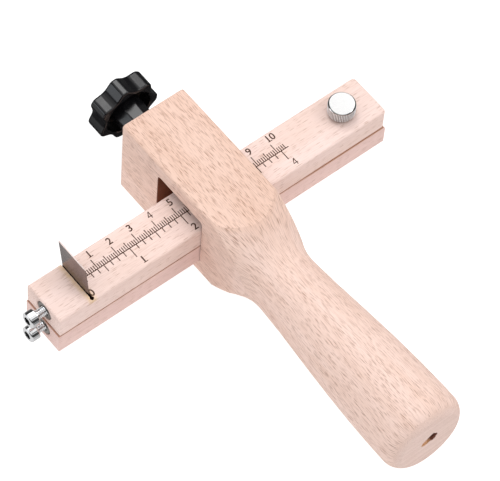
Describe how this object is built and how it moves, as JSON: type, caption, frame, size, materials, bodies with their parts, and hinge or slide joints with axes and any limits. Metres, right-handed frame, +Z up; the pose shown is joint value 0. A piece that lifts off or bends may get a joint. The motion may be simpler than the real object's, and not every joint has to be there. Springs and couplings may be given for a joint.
{
  "type": "strap cutter",
  "caption": "Wooden strap cutter: a turned handle with a slotted head, a two-piece sliding arm with a printed scale and upright blade, and a star-knob clamp.",
  "frame": {"origin": "middle of the head's flat bottom face in X, on the centre plane of the sliding arms in Y", "axes": "+X along the sliding arms from the blade end to the thumb screw end, handle along -Y with the star knob at +Y, +Z up out of the face that carries the scale"},
  "size_m": [0.1729, 0.1978, 0.045],
  "materials": {
    "beech": "bare sanded beech with short brown flecks along the handle",
    "pale_beech": "bare sanded pale beech with an engraved brown scale",
    "blade_steel": "thin ground blade steel",
    "chrome": "bright plated screws",
    "nickel": "nickel plated, fine straight knurl",
    "zinc": "grey zinc threaded inserts",
    "bright_steel": "plain bright steel",
    "black_plastic": "moulded black nylon, satin"
  },
  "bodies": {
    "head": {"handle_body": "beech", "clamp_insert": "zinc"},
    "clamp_plate": {"clamp_plate": "bright_steel"},
    "clamp_screw": {"clamp_stud": "bright_steel", "star_knob": "black_plastic"},
    "lower_beam": {"lower_arm": "pale_beech", "lower_blade_insert": "zinc", "thumb_screw_insert": "zinc"},
    "upper_beam": {"upper_arm": "pale_beech", "upper_blade_insert": "zinc"},
    "blade": {"blade": "blade_steel"},
    "lower_blade_screw": {"lower_blade_screw": "chrome"},
    "upper_blade_screw": {"upper_blade_screw": "chrome"},
    "thumb_screw": {"thumb_screw": "nickel"}
  },
  "joints": [
    {"name": "beam_slide", "type": "slide", "parent": "head", "child": "lower_beam", "axis": [1, 0, 0], "range_m": [-0.043, 0.052]},
    {"name": "upper_arm_lift", "type": "slide", "parent": "lower_beam", "child": "upper_beam", "axis": [0, 0, 1], "range_m": [0, 0.0045]},
    {"name": "thumb_screw_turn", "type": "hinge", "parent": "upper_beam", "child": "thumb_screw", "pos_m": [0.0645, 0, 0.03075], "axis": [0, 0, 1], "range_deg": [0, 2030]},
    {"name": "blade_lift", "type": "slide", "parent": "lower_beam", "child": "blade", "axis": [0, 0, 1], "range_m": [0, 0.02]},
    {"name": "lower_blade_screw_travel", "type": "slide", "parent": "lower_beam", "child": "lower_blade_screw", "axis": [-1, 0, 0], "range_m": [0, 0.005]},
    {"name": "upper_blade_screw_travel", "type": "slide", "parent": "upper_beam", "child": "upper_blade_screw", "axis": [-1, 0, 0], "range_m": [0, 0.005]},
    {"name": "clamp_plate_slide", "type": "slide", "parent": "head", "child": "clamp_plate", "axis": [0, 1, 0], "range_m": [0, 0.0035]},
    {"name": "star_knob_turn", "type": "hinge", "parent": "clamp_plate", "child": "clamp_screw", "pos_m": [0, 0.0409, 0.02155], "axis": [0, 1, 0], "range_deg": [0, 1012]}
  ],
  "couplings": [
    {"joint": "thumb_screw_turn", "follows": "upper_arm_lift", "rad_per_m": 7854},
    {"joint": "star_knob_turn", "follows": "clamp_plate_slide", "rad_per_m": 5026.5}
  ]
}
